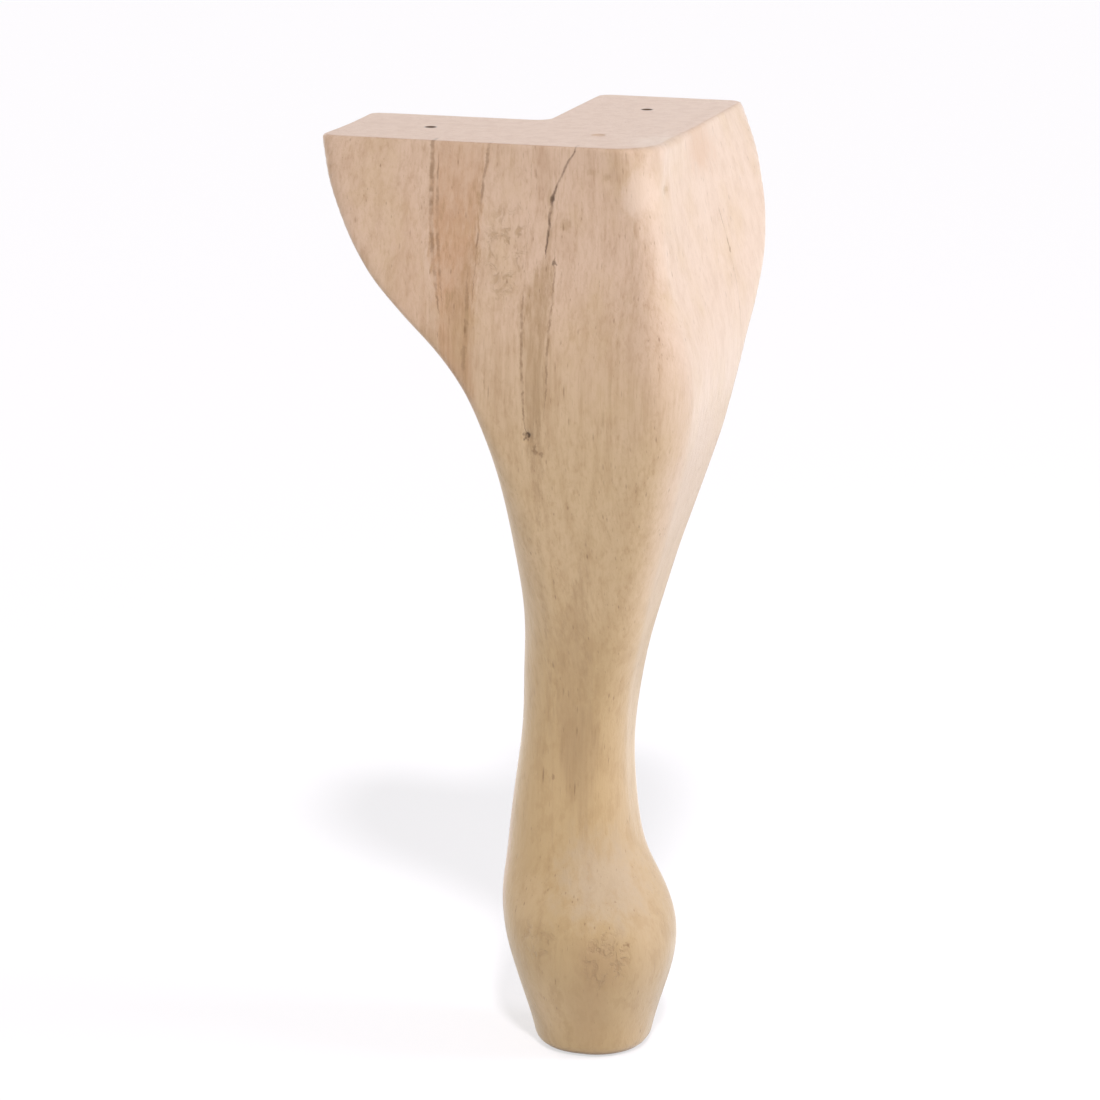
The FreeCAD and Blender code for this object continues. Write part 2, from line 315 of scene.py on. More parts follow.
def column_angles(s, table):
    """Ray angles spread by weighted length round the wings: closest on the checked front face."""
    fine = np.linspace(0, 2 * math.pi, ROUND_POINTS)
    level = np.full_like(fine, SPREAD_LEVEL * s.leg_height)
    x, y = side_points(fine, level, s, table)
    on_front = (y < FRONT_DEPTH) & (x > FRONT_LEFT) & (x < FRONT_RIGHT)
    at_knee = (x > FRONT_RIGHT) & (y < 0)
    weight = np.where(on_front, 1 / FRONT_STEP, np.where(at_knee, 1 / KNEE_STEP, 1 / PLAIN_STEP)) / MM
    way = np.hypot(np.diff(x), np.diff(y))
    run = np.concatenate(([0], np.cumsum(way * (weight[1:] + weight[:-1]) / 2)))
    count = int(run[-1])
    return np.interp(np.arange(count) * run[-1] / count, run, fine)


def row_heights(s):
    """Heights of the rows: close round both rims, finer from the knee up."""
    low = s.base_edge * (1 - np.cos(np.linspace(0, math.pi / 2, BASE_ROWS)))
    top = s.leg_height - s.worn_edge * (1 - np.sin(np.linspace(0, math.pi / 2, EDGE_ROWS)))
    middle = SHIN_END * s.leg_height
    shin = np.linspace(s.base_edge, middle, int((middle - s.base_edge) / (SHIN_ROW_STEP * MM)))
    knee = np.linspace(middle, top[0], int((top[0] - middle) / (KNEE_ROW_STEP * MM)))
    return np.concatenate((low[:-1], shin[:-1], knee[:-1], top))


def surface_normals(points):
    """Outward unit normals of a closed grid from its differences along rows and columns."""
    across = np.roll(points, -1, axis=1) - np.roll(points, 1, axis=1)
    along = np.gradient(points, axis=0)
    normal = np.cross(across, along)
    return normal / np.linalg.norm(normal, axis=2, keepdims=True)


# Marks that the wood carries, as places on the surface in millimetres

# Each line: its face, points of height and place across, half widths there, colour, share of colour
CHECKS = (
    # The near-black check colour of this line is painted shade inside the crack
    ("front", ((300, 0.0), (298.3, -0.2), (294.3, -2.7), (290, -4.4), (287.5, -5.6), (284.2, -6.6),
               (279.4, -7.0), (274.3, -7.2), (268.9, -7.5), (266, -7.6)),
     (0.10, 0.22, 0.34, 0.24, 0.26, 0.44, 0.34, 0.32, 0.22, 0.0), "check", 0.72),
    ("front", ((267, -4.8), (265.4, -4.8), (263, -4.6), (254.2, -4.5), (245.3, -4.6), (240.2, -4.9),
               (227, -4.9), (217.3, -6.2)),
     (0.0, 0.36, 0.20, 0.22, 0.32, 0.34, 0.26, 0.0), "vessel_and_sole_shade", 0.55),
    ("front", ((256, -13.5), (253.8, -13.5), (250, -13.5), (238.6, -13.0), (226.5, -12.6), (215.2, -12.4),
               (212, -12.0)),
     (0.0, 0.24, 0.36, 0.40, 0.36, 0.24, 0.0), "vessel_and_sole_shade", 0.62),
    ("front", ((300, -27.4), (296.5, -27.6), (292, -28.3), (286, -28.8), (282.7, -28.8), (274.1, -29.0),
               (263.7, -29.2), (250, -29.4)),
     (0.38, 0.40, 0.42, 0.40, 0.36, 0.26, 0.18, 0.0), "vessel_and_sole_shade", 0.60),
    ("front", ((300, -45.7), (294.2, -45.4), (285.1, -44.8), (275.1, -43.9), (264.7, -42.4), (255.8, -40.7),
               (246.8, -39.0)),
     (0.50, 0.60, 0.60, 0.55, 0.50, 0.40, 0.0), "vessel_and_sole_shade", 0.62),
    ("front", ((297, -43.6), (285, -43.0), (275, -42.0), (262, -40.2), (250, -38.2)),
     (0.0, 0.42, 0.46, 0.40, 0.0), "vessel_and_sole_shade", 0.50),
    ("front", ((262, -31.5), (254, -31.0), (243, -30.8), (233, -31.5), (226, -32.0)),
     (0.0, 0.50, 0.60, 0.50, 0.0), "vessel_and_sole_shade", 0.40),
    ("right", ((276, 28.6), (273.3, 28.8), (267.5, 29.4), (261.4, 29.7), (259, 29.7)),
     (0.0, 0.18, 0.22, 0.36, 0.0), "vessel_and_sole_shade", 0.60),
    ("right", ((257, 29.3), (254.2, 29.3), (245.1, 27.9), (235.3, 28.0), (228.4, 29.0), (222, 29.0)),
     (0.0, 0.18, 0.20, 0.18, 0.14, 0.0), "vessel_and_sole_shade", 0.45),
)

# Each growth band down the front: points of height and place across, half widths, colour, strength
BANDS = (
    (((300, -36.5), (285, -36.8), (275, -36.4), (264.7, -35.8), (255.8, -35.0), (246.8, -34.3),
      (235, -33.5), (215, -33.0)),
     (9.0, 8.2, 7.8, 7.2, 6.6, 6.0, 5.4, 5.0), "red", 0.95),
    (((272, -30.0), (268, -30.5), (262, -31.0), (253, -33.0), (243, -32.6), (233, -32.0), (222, -31.5)),
     (0.0, 2.0, 2.8, 4.4, 4.4, 3.6, 2.5), "brown", 0.42),
    (((296, -52.0), (270, -51.0), (250, -48.5), (236, -45.0)), (0.0, 5.0, 6.0, 4.0), "red", 0.22),
    (((268, -7.0), (262, -7.8), (254, -9.0), (245, -9.0), (238, -9.0), (227, -8.8), (217, -9.3),
      (210, -9.8), (194, -9.5), (180, -10.5), (150, -12.0)),
     (0.0, 3.0, 4.8, 4.7, 4.2, 3.9, 3.1, 2.2, 1.0, 0.0, 0.0), "brown", 0.66),
    (((262, 19.0), (236, 17.0), (198, 9.0), (170, 3.5), (141, -3.0), (120, -4.0), (99, -3.0), (75, -1.0),
      (40, 4.0), (0, 5.0)),
     (0.0, 0.0, 0.0, 1.0, 6.0, 7.0, 6.5, 2.0, 0.0, 0.0), "brown", 0.46),
)

# Each dent: place, radii along X, Y and Z, depth
DENTS = (
    ((-11.6, -36.9, 211.3), (1.1, 3.0, 1.5), 1.5),
    ((-1.8, -28.3, 276.3), (1.8, 3.0, 2.0), 0.35),
    ((10.3, -25.1, 290.6), (2.0, 3.0, 1.2), 0.30),
    ((25.4, -12.2, 286.1), (2.0, 2.6, 2.2), 0.45),
    ((21.4, -19.8, 296.4), (2.2, 2.2, 1.2), 0.35),
    ((10.0, -23.0, 38.7), (6.0, 6.0, 7.0), 0.30),
)

# Each dark spot: place, radii, colour, share of colour
SPOTS = (
    # The spots in the check colour are painted shade in the knot hole and small pits
    ((-11.6, -36.9, 211.3), (1.3, 3.0, 1.7), "check", 0.95),
    ((-9.3, -36.0, 207.1), (0.8, 3.0, 2.2), "vessel_and_sole_shade", 0.65),
    ((-7.5, -35.6, 205.6), (0.7, 3.0, 1.4), "vessel_and_sole_shade", 0.55),
    ((-6.6, -27.1, 284.2), (0.7, 3.0, 1.0), "check", 0.55),
    ((-4.8, -31.0, 265.2), (0.7, 3.0, 1.0), "check", 0.65),
    ((-1.8, -28.3, 276.3), (2.0, 3.0, 2.6), "brown", 0.42),
    ((5.6, -25.2, 292.6), (2.2, 3.0, 1.5), "brown", 0.30),
    ((10.3, -25.1, 291.3), (1.7, 3.0, 1.3), "brown", 0.32),
    ((25.4, -12.2, 286.1), (1.8, 3.0, 1.6), "brown", 0.50),
    ((34.5, 29.7, 260.5), (3.0, 1.0, 1.1), "vessel_and_sole_shade", 0.60),
    ((16.0, -18.3, 41.1), (1.0, 2.0, 0.9), "vessel_and_sole_shade", 0.70),
    ((-11.8, -9.4, 92.4), (0.9, 3.0, 1.2), "vessel_and_sole_shade", 0.50),
)

# Each soft patch: place, radii, colour, strength
PATCHES = (
    ((8.0, -13.0, 60.0), (20.0, 20.0, 20.0), "worn", 0.48),
    ((10.0, -23.0, 35.0), (10.0, 10.0, 13.0), "brown", 0.56),
    ((-20.0, -6.0, 48.0), (12.0, 16.0, 22.0), "brown", 0.12),
    ((-17.0, -18.0, 50.0), (8.0, 10.0, 14.0), "fair", 0.40),
    ((2.0, -20.0, 40.0), (5.0, 9.0, 7.0), "brown", 0.36),
    ((-10.0, -18.0, 18.0), (9.0, 10.0, 14.0), "fair", 0.36),
    # Painted highlight on the worn corner over the knee
    ((20.5, -23.0, 287.0), (6.5, 8.0, 12.0), "knee_highlight", 0.62),
    ((26.0, 24.0, 294.0), (10.0, 17.0, 10.0), "red", 0.52),
    # Painted highlight on the knee ridge below the top corner
    ((25.0, -22.0, 274.0), (6.0, 7.0, 18.0), "knee_highlight", 0.35),
    ((16.0, -35.0, 246.0), (14.0, 12.0, 22.0), "brown", 0.17),
    ((4.0, -20.0, 20.0), (8.0, 14.0, 24.0), "brown", 0.38),
    ((-5.0, -10.0, 104.0), (7.0, 9.0, 20.0), "brown", 0.35),
)

# Each place of torn, curly fibres: place, radii, strength
TORN = (
    ((-20.0, -32.0, 268.0), (9.0, 12.0, 20.0), 0.52),
    ((10.0, -22.5, 36.0), (9.0, 12.0, 12.0), 0.85),
    ((-12.0, -22.0, 42.0), (8.0, 12.0, 10.0), 0.45),
    ((-8.0, -36.0, 206.0), (5.0, 9.0, 9.0), 0.36),
)


# Groove of the drying check: depth, soft width beside it, half width of a full groove, how far front it lies
CHECK_DEPTH, CHECK_EDGE, CHECK_FULL, CHECK_FACE = 0.288, 0.35, 0.3, -20.0

# Hand-sanded waves: depth, largest sum of the two waves, and heights over which they fade at both ends
WAVE_DEPTH, WAVE_PEAK, FOOT_FADE, TOP_FADE = 0.11, 1.6, 12.0, 8.0


def carved_dents(p, s):
    """Depth of the dents, check grooves and slow hand-sanded waves at points, in metres, never outward.

    A dent is a bell curve and a check a V-shaped groove along its line. The waves are two products of
    sines, raised by their peak so that they only sink into the wood.
    """
    x, y, z = (p[..., i] / MM for i in range(3))
    depth = np.zeros(x.shape)
    for place, radii, deep in DENTS:
        d = sum(((c - m) / r) ** 2 for c, m, r in zip((x, y, z), place, radii))
        depth += deep * np.exp(-d)
    for face, path, widths, name, _ in CHECKS:
        if name == "check" and face == "front":
            levels, places = np.array(path)[::-1].T
            at = np.interp(z, levels, places)
            half = np.interp(z, levels, np.array(widths)[::-1], left=0, right=0)
            groove = np.clip(1 - np.abs(x - at) / (half + CHECK_EDGE), 0, 1)
            depth += CHECK_DEPTH * groove * np.minimum(half / CHECK_FULL, 1.0) * (y < CHECK_FACE)
    wave = (
        np.sin(0.11 * x + 0.07 * z + 1.3) * np.sin(0.093 * y - 0.061 * z + 0.4)
        + 0.6 * np.sin(0.21 * x - 0.12 * z) * np.sin(0.17 * y + 0.15 * z + 2.1)
    )
    fade = smooth_step(0, FOOT_FADE, z) * smooth_step(0, TOP_FADE, s.leg_height / MM - z)
    depth += WAVE_DEPTH * (WAVE_PEAK + wave) * fade
    return depth * MM


def ring(radius, centre, count):
    """Points of a circle, counter-clockwise."""
    turn = np.arange(count) * 2 * math.pi / count
    return np.column_stack((centre[0] + radius * np.cos(turn), centre[1] + radius * np.sin(turn)))


def loop_edges(start, count):
    """Edges of a closed loop of points as index pairs."""
    i = np.arange(count)
    return np.column_stack((start + i, start + (i + 1) % count))


def strip(lower, upper):
    """Quads between two rings of equal length, facing out when the upper ring lies above."""
    return np.column_stack((lower, np.roll(lower, -1), np.roll(upper, -1), upper))


def side_grid(s, table):
    """Points of the side surface as rows by columns, sunk along their normals by the carved dents."""
    zz, aa = np.meshgrid(row_heights(s), column_angles(s, table), indexing="ij")
    x, y = side_points(aa, zz, s, table)
    grid = np.stack((x, y, zz), axis=2)
    grid = grid - surface_normals(grid) * carved_dents(grid, s)[..., None]
    grid[0, :, 2], grid[-1, :, 2] = 0.0, s.leg_height
    return grid


def drilled_hole(centre, radius, depth, cone, start, top):
    """Points, wall quads and cone triangles of a hole: rings down a straight wall, then a cone to one tip.

    A hole without depth is a cone from its rim. The points are numbered from start, the rim first.
    """
    rim = ring(radius, centre, HOLE_SIDES)
    levels = (top, top - depth) if depth else (top,)
    rings = [np.column_stack((rim, np.full(HOLE_SIDES, level))) for level in levels]
    index = start + np.arange(len(levels) * HOLE_SIDES).reshape(-1, HOLE_SIDES)
    tip = start + index.size
    points = np.concatenate((*rings, [[*centre, top - (depth + cone)]]))
    walls = [strip(index[i], index[i + 1]) for i in range(len(levels) - 1)]
    cone_faces = np.column_stack((index[-1], np.roll(index[-1], -1), np.full(HOLE_SIDES, tip)))
    return points, walls, cone_faces


def top_triangles(loops, s, table):
    """Triangles of the top face between its outline, the first loop, and the rims of the holes.

    A loop is its flat points and their numbers in the mesh. A triangle is left out if its corners lie
    on one rim or its middle lies outside the wood, and is turned to face up.
    """
    counts = [len(places) for places, _ in loops]
    starts = np.cumsum([0] + counts[:-1])
    flat = np.concatenate([places for places, _ in loops])
    numbers = np.concatenate([index for _, index in loops])
    owner = np.repeat(np.arange(len(loops)), counts)
    edges = np.concatenate([loop_edges(start, count) for start, count in zip(starts, counts)])
    placed, _, faces, origin, _, _ = delaunay_2d_cdt(flat.tolist(), edges.tolist(), [], 1, 1e-9)
    if len(placed) != len(flat):
        raise RuntimeError("the top face has crossing edges")
    faces = np.array([source[0] for source in origin])[np.array(faces)]
    rims = owner[faces]
    clear = (rims[:, 0] == 0) | (rims != rims[:, :1]).any(axis=1)
    middle = flat[faces].mean(axis=1)
    level = np.full(len(middle), s.leg_height - s.top_edge)
    clear &= wood_depth(middle[:, 0], middle[:, 1], level, s, table) < 0
    faces = faces[clear]
    corners = flat[faces]
    a, b = corners[:, 1] - corners[:, 0], corners[:, 2] - corners[:, 0]
    turned = a[:, 0] * b[:, 1] - a[:, 1] * b[:, 0] < 0
    faces[turned] = faces[turned][:, ::-1]
    return numbers[faces]


def leg_mesh(s):
    """Closed mesh of the leg: side grid of rows by columns, flat base, and top face with drilled holes."""
    table = stations(s)
    grid = side_grid(s, table)
    n_rows, n_cols = grid.shape[:2]
    index = np.arange(n_rows * n_cols).reshape(n_rows, n_cols)
    quads = [strip(index[i], index[i + 1]) for i in range(n_rows - 1)]
    # Base as a fan round its middle
    points = [grid.reshape(-1, 3), [[*grid[0, :, :2].mean(axis=0), 0.0]]]
    base = np.column_stack((np.full(n_cols, index.size), np.roll(index[0], -1), index[0]))
    # Screw holes and carving centre
    bore = s.pilot_dia / 2
    drill_point = bore * math.tan(DRILL_SLOPE)
    holes = (
        ((-s.pilot_reach, 0.0), bore, s.pilot_depth, drill_point),
        ((0.0, s.pilot_reach), bore, s.pilot_depth, drill_point),
        ((0.0, 0.0), s.mark_dia / 2, 0.0, s.mark_depth),
    )
    loops, cones, start = [(grid[-1, :, :2], index[-1])], [], index.size + 1
    for centre, radius, depth, cone in holes:
        sunk, walls, cone_faces = drilled_hole(centre, radius, depth, cone, start, s.leg_height)
        points.append(sunk)
        quads += walls
        cones.append(cone_faces)
        loops.append((sunk[:HOLE_SIDES, :2], start + np.arange(HOLE_SIDES)))
        start += len(sunk)
    flat = np.concatenate((base, top_triangles(loops, s, table)))
    return np.concatenate(points), np.concatenate(quads), np.concatenate(cones), flat


def put_mesh(name, points, smooth_quads, smooth_tris, flat_tris):
    """Mesh object from arrays of points, quads and triangles; the last triangles stay flat."""
    mesh = bpy.data.meshes.new(name)
    faces = smooth_quads.tolist() + smooth_tris.tolist() + flat_tris.tolist()
    mesh.from_pydata(points.tolist(), [], faces)
    smooth = np.ones(len(faces), bool)
    smooth[len(smooth_quads) + len(smooth_tris):] = False
    mesh.polygons.foreach_set("use_smooth", smooth)
    mesh.update()
    if mesh.validate():
        raise RuntimeError("the mesh of %s has bad faces" % name)
    piece = bpy.data.objects.new(name, mesh)
    bpy.context.collection.objects.link(piece)
    return piece


# Raw wood

# A curve holds 0 to 1: the span across the leg that this stands for, its shift, and the widest half width
LINE_SPAN, LINE_SHIFT, LINE_WIDTH = 100.0, 60.0, 10.0

# Open vessels, coarse and fine: width and height of a cell, widest share of it, share of colour
VESSELS = ((1.5, 16.0, 0.28, 0.60), (0.9, 7.0, 0.27, 0.42))


class Nodes:
    """Short calls for building a node tree."""

    def __init__(self, tree):
        self.tree = tree

    def make(self, kind, feeds=(), **settings):
        """A node with its settings, and with sockets or plain values fed into its inputs."""
        node = self.tree.nodes.new(kind)
        for key, value in settings.items():
            setattr(node, key, value)
        for key, value in feeds:
            if isinstance(value, bpy.types.NodeSocket):
                self.tree.links.new(value, node.inputs[key])
            else:
                node.inputs[key].default_value = value
        return node

    def math(self, operation, *values, clamp=False):
        """A sum, product or the like of values."""
        feeds = tuple(enumerate(values))
        return self.make("ShaderNodeMath", feeds, operation=operation, use_clamp=clamp).outputs[0]

    def vector(self, operation, *values, out="Vector"):
        """The same for vectors."""
        feeds = tuple(enumerate(values))
        return self.make("ShaderNodeVectorMath", feeds, operation=operation).outputs[out]

    def largest(self, values):
        """The largest of several values at each place."""
        most, *others = values
        for value in others:
            most = self.math("MAXIMUM", most, value)
        return most

    def remap(self, value, low, high, out_low=0.0, out_high=1.0):
        """Smooth ease from one result at low to another at high."""
        feeds = ((0, value), (1, low), (2, high), (3, out_low), (4, out_high))
        return self.make("ShaderNodeMapRange", feeds, interpolation_type="SMOOTHSTEP").outputs[0]

    def mix(self, share, first, second, way="MIX"):
        """A share of the second colour laid on the first."""
        feeds = ((0, share), (6, first), (7, second))
        return self.make("ShaderNodeMix", feeds, data_type="RGBA", blend_type=way).outputs[2]

    def stretch(self, vector, x, y, z):
        """A place with each coordinate times its own factor."""
        return self.vector("MULTIPLY", vector, (x, y, z))

    def noise(self, vector, detail=3.0, rough=0.5, twist=0.0, out="Fac"):
        """Cloudy noise around a half, one cloud to a unit."""
        feeds = (("Vector", vector), ("Scale", 1.0), ("Detail", detail), ("Roughness", rough))
        return self.make("ShaderNodeTexNoise", (*feeds, ("Distortion", twist))).outputs[out]

    def curve(self, value, points):
        """Straight lines through points, level beyond both ends."""
        node = self.make("ShaderNodeFloatCurve", (("Value", value),))
        line = node.mapping.curves[0]
        for i, (px, py) in enumerate(sorted(points)):
            if i < 2:
                line.points[i].location = (px, py)
            else:
                line.points.new(px, py)
        for point in line.points:
            point.handle_type = "VECTOR"
        node.mapping.extend = "HORIZONTAL"
        node.mapping.update()
        return node.outputs[0]


def new_tree(owner):
    """Empty node tree of a material or a world."""
    owner.use_nodes = True
    owner.node_tree.nodes.clear()
    return Nodes(owner.node_tree)


def rgb(colour):
    """A colour as a socket takes it, with a full alpha."""
    return (*colour, 1.0)


class Grain:
    """What the parts of the wood share: the place in millimetres, the wandering grain and three noises."""

    def __init__(self, n, s):
        self.high = s.leg_height / MM
        place = n.make("ShaderNodeTexCoord").outputs["Object"]
        self.mm = n.stretch(place, 1 / MM, 1 / MM, 1 / MM)
        self.x, self.y, self.z = n.make("ShaderNodeSeparateXYZ", ((0, self.mm),)).outputs
        self.share = n.math("DIVIDE", self.z, self.high)
        # Slow drift of the grain, so that bands and vessels wander
        self.drift = n.math("SUBTRACT", n.noise(n.stretch(self.mm, 0.02, 0.02, 0.011), 2.0), 0.5)
        across = n.math("ADD", self.x, n.math("MULTIPLY", self.drift, 9.0))
        self.along = n.make("ShaderNodeCombineXYZ", ((0, across), (1, self.y), (2, self.z))).outputs[0]
        self.fine = n.noise(n.stretch(self.along, 1.05, 0.95, 0.10), 3.0, 0.62)
        self.fleck = n.noise(n.stretch(self.mm, 0.70, 0.70, 0.36), 3.0, 0.62, 0.8)
        self.woolly = n.math("SUBTRACT", n.noise(n.stretch(self.mm, 0.22, 0.22, 0.12), 4.0, 0.65), 0.5)


def sheet(n, g, across, path, widths):
    """Distance from a line that follows a curve in height, and the line's half width there."""
    line = [(q[0] / g.high, (q[1] + LINE_SHIFT) / LINE_SPAN) for q in path]
    half = [(q[0] / g.high, w / LINE_WIDTH) for q, w in zip(path, widths)]
    at = n.math("SUBTRACT", n.math("MULTIPLY", n.curve(g.share, line), LINE_SPAN), LINE_SHIFT)
    away = n.math("ABSOLUTE", n.math("SUBTRACT", across, at))
    return away, n.math("MULTIPLY", n.curve(g.share, half), LINE_WIDTH)


def blob(n, where, place, radii):
    """Distance from a place in units of its radii."""
    off = n.vector("SUBTRACT", where, place)
    return n.vector("LENGTH", n.stretch(off, *(1 / r for r in radii)), out="Value")


def wood_tone(n, g, look):
    """Tone from top to foot, with growth streaks, short fibres and woolly flecks everywhere, and painted
    light on the right show face.
    """
    fall = n.math("ADD", g.z, n.math("MULTIPLY", g.drift, 60.0))
    colour = n.mix(n.remap(fall, 105.0, 185.0), rgb(look.tan), rgb(look.fair))
    colour = n.mix(n.remap(fall, 190.0, 262.0), colour, rgb(look.pale))
    colour = n.mix(n.remap(g.z, 25.0, 95.0, 1.0, 0.0), colour, rgb(look.dusty))
    # Painted light: the right show face is made paler and pinker, and its fibres fainter, where the side
    # lamp lights it
    side = n.math("MULTIPLY", n.remap(n.math("ADD", g.x, g.y), -8.0, 10.0), n.remap(g.x, -4.0, 12.0))
    painted_side_light = n.math("MULTIPLY", side, n.remap(g.z, 120.0, 235.0, 0.15, 0.95))
    colour = n.mix(painted_side_light, colour, rgb(look.painted_side_light))
    calm = n.remap(n.math("MULTIPLY", side, n.remap(g.z, 100.0, 200.0)), 0.0, 1.0, 1.0, 0.45)
    calm = n.math("MULTIPLY", calm, n.remap(g.z, 50.0, 190.0, 0.22, 1.0))
    streak = n.noise(n.stretch(g.along, 0.30, 0.22, 0.008), 4.0, 0.62)
    fibres = ((streak, 0.40, 0.74, 0.46), (g.fine, 0.46, 0.72, 0.36), (g.fleck, 0.50, 0.72, 0.24))
    for source, low, full, strength in fibres:
        mask = n.math("MULTIPLY", n.remap(source, low, full, 0.0, strength), calm)
        colour = n.mix(mask, colour, rgb(look.fibre), "MULTIPLY")
    return colour


def growth_bands(n, g, look, colour):
    """Marked bands down the front, with streaky edges and darker lines, fading towards the top."""
    from_arris = n.math("ADD", g.y, n.math("MULTIPLY", n.math("SUBTRACT", g.z, 100.0), 0.12))
    on_front = n.remap(from_arris, 10.0, -3.0)
    below_top = n.remap(g.z, 302.0, 274.0, 0.35, 1.0)
    comb = n.math("SUBTRACT", n.noise(n.stretch(g.along, 0.75, 0.60, 0.016), 4.0, 0.68), 0.5)
    for path, widths, name, strength in BANDS:
        away, wide = sheet(n, g, g.x, path, widths)
        edge = n.math("ADD", n.math("SUBTRACT", wide, away), n.math("MULTIPLY", comb, 7.0))
        mask = n.math("MULTIPLY", n.remap(edge, -1.5, 2.5), n.math("MULTIPLY", on_front, below_top))
        uneven = n.math("MULTIPLY", mask, n.remap(comb, -0.16, 0.14, 0.55 * strength, strength))
        colour = n.mix(uneven, colour, rgb(getattr(look, name)))
        lines = n.math("MULTIPLY", mask, n.remap(comb, 0.04, 0.20, 0.0, 0.55 * strength))
        colour = n.mix(lines, colour, rgb(look.brown))
    return colour


def soft_patches(n, g, look, colour):
    """Clouds and woolly blotches all over, and the patches with woolly outlines, two of them a painted
    highlight over the knee corner.
    """
    cloud = n.noise(n.stretch(g.mm, 0.06, 0.06, 0.04), 4.0, 0.65)
    colour = n.mix(n.remap(cloud, 0.42, 0.72, 0.0, 0.30), colour, rgb(look.tan))
    blotch = n.math("MULTIPLY", n.remap(g.woolly, -0.04, 0.14), n.remap(g.z, 70.0, 160.0, 0.27, 0.19))
    colour = n.mix(blotch, colour, rgb(look.fibre), "MULTIPLY")
    for centre, radii, name, strength in PATCHES:
        reach = n.math("ADD", blob(n, g.mm, centre, radii), n.math("MULTIPLY", g.woolly, 1.6))
        colour = n.mix(n.remap(reach, 0.20, 1.15, strength, 0.0), colour, rgb(getattr(look, name)))
    return colour


def open_vessels(n, g):
    """Mask of the open vessels: thin middles of tall cells along the grain, fewer between the blotches."""
    pores = []
    for size, tall, widest, strength in VESSELS:
        cells = n.stretch(g.along, 1 / size, 1 / size, 1 / tall)
        feeds = (("Vector", cells), ("Scale", 1.0), ("Randomness", 1.0))
        cell = n.make("ShaderNodeTexVoronoi", feeds, feature="F1").outputs
        pick = n.make("ShaderNodeSeparateColor", ((0, cell["Color"]),)).outputs[0]
        limit = n.remap(pick, 0.40, 1.0, 0.02, widest)
        line = n.math("SUBTRACT", 1.0, n.math("DIVIDE", cell["Distance"], limit), clamp=True)
        pores.append(n.math("MULTIPLY", n.remap(line, 0.0, 0.8), strength))
    return n.math("MULTIPLY", n.largest(pores), n.remap(g.woolly, -0.15, 0.12, 0.25, 1.0))


def torn_fibres(n, g):
    """Mask of the torn fibres: a twisted noise within the torn places."""
    curl = n.remap(n.noise(n.stretch(g.mm, 0.30, 0.30, 0.22), 4.0, 0.62, 0.8), 0.50, 0.66)
    places = [n.remap(blob(n, g.mm, centre, radii), 0.45, 1.05, share, 0.0) for centre, radii, share in TORN]
    return n.math("MULTIPLY", n.largest(places), curl)


def sawn_top(n, g, look, colour):
    """Sawn end grain on the flat of the top face, rubbed thinner towards the worn edge on the right."""
    on_top = n.remap(g.z, g.high - 0.30, g.high - 0.02)
    sawn = n.mix(n.remap(g.fleck, 0.45, 0.70, 0.0, 0.30), rgb(look.sawn), rgb(look.red))
    sawn = n.mix(n.remap(g.woolly, -0.10, 0.15, 0.40, 0.0), sawn, rgb(look.pale))
    rubbed = blob(n, g.mm, (22.0, -8.0, g.high), (12.0, 18.0, 6.0))
    kept = n.remap(n.math("ADD", rubbed, n.math("MULTIPLY", g.woolly, 1.2)), 0.25, 1.10, 0.35, 0.90)
    return n.mix(n.math("MULTIPLY", on_top, kept), colour, sawn)


def drawn_lines(n, g, look, colour):
    """Drying checks, their near-black inside painted shade, and brown lines, ragged and broken along their
    length, and the mask of the checks.
    """
    noise = n.math("SUBTRACT", n.noise(n.stretch(g.mm, 0.15, 0.15, 0.40), 3.0, 0.7), 0.5)
    ragged = n.math("MULTIPLY", noise, 1.5)
    breaks = n.remap(n.noise(n.stretch(g.mm, 0.08, 0.08, 0.24), 2.0, 0.6), 0.38, 0.60, 0.25, 1.0)
    faces = {
        "front": (n.math("ADD", g.x, ragged), n.remap(g.y, -19.0, -22.0)),
        "right": (n.math("ADD", g.y, ragged), n.remap(g.x, 16.0, 20.0)),
    }
    checks = []
    for face, path, widths, name, dark in CHECKS:
        across, there = faces[face]
        away, wide = sheet(n, g, across, path, widths)
        ratio = n.math("DIVIDE", away, n.math("MAXIMUM", wide, 0.004))
        mask = n.math("MULTIPLY", n.remap(ratio, 0.45, 1.7, dark, 0.0), n.math("MULTIPLY", there, breaks))
        colour = n.mix(mask, colour, rgb(getattr(look, name)))
        if name == "check":
            checks.append(mask)
    return colour, n.largest(checks)


def dark_spots(n, g, look, colour):
    """Dark spots with ragged outlines: each place is shaken by a noise before it is measured."""
    shake = n.noise(n.stretch(g.mm, 0.9, 0.9, 0.7), 2.0, out="Color")
    shift = n.vector("SUBTRACT", shake, (0.5, 0.5, 0.5))
    where = n.vector("ADD", g.mm, n.stretch(shift, 2.6, 2.6, 2.6))
    for centre, radii, name, dark in SPOTS:
        mask = n.remap(blob(n, where, centre, radii), 0.35, 1.15, dark, 0.0)
        colour = n.mix(mask, colour, rgb(getattr(look, name)))
    return colour


def painted_bore_shade(n, g, look, colour, s):
    """Painted shade inside the screw holes, from the top face to below their tips."""
    flat = n.stretch(g.mm, 1.0, 1.0, 0.0)
    deep = n.remap(g.z, g.high - 40.0, g.high - 38.0)
    reach, bore = s.pilot_reach / MM, s.pilot_dia / 2 / MM
    for centre in ((-reach, 0.0, 0.0), (0.0, reach, 0.0)):
        out = n.vector("DISTANCE", flat, centre, out="Value")
        inside = n.remap(out, bore + 0.1, bore + 0.5, 0.9, 0.0)
        colour = n.mix(n.math("MULTIPLY", inside, deep), colour, rgb(look.check))
    return colour


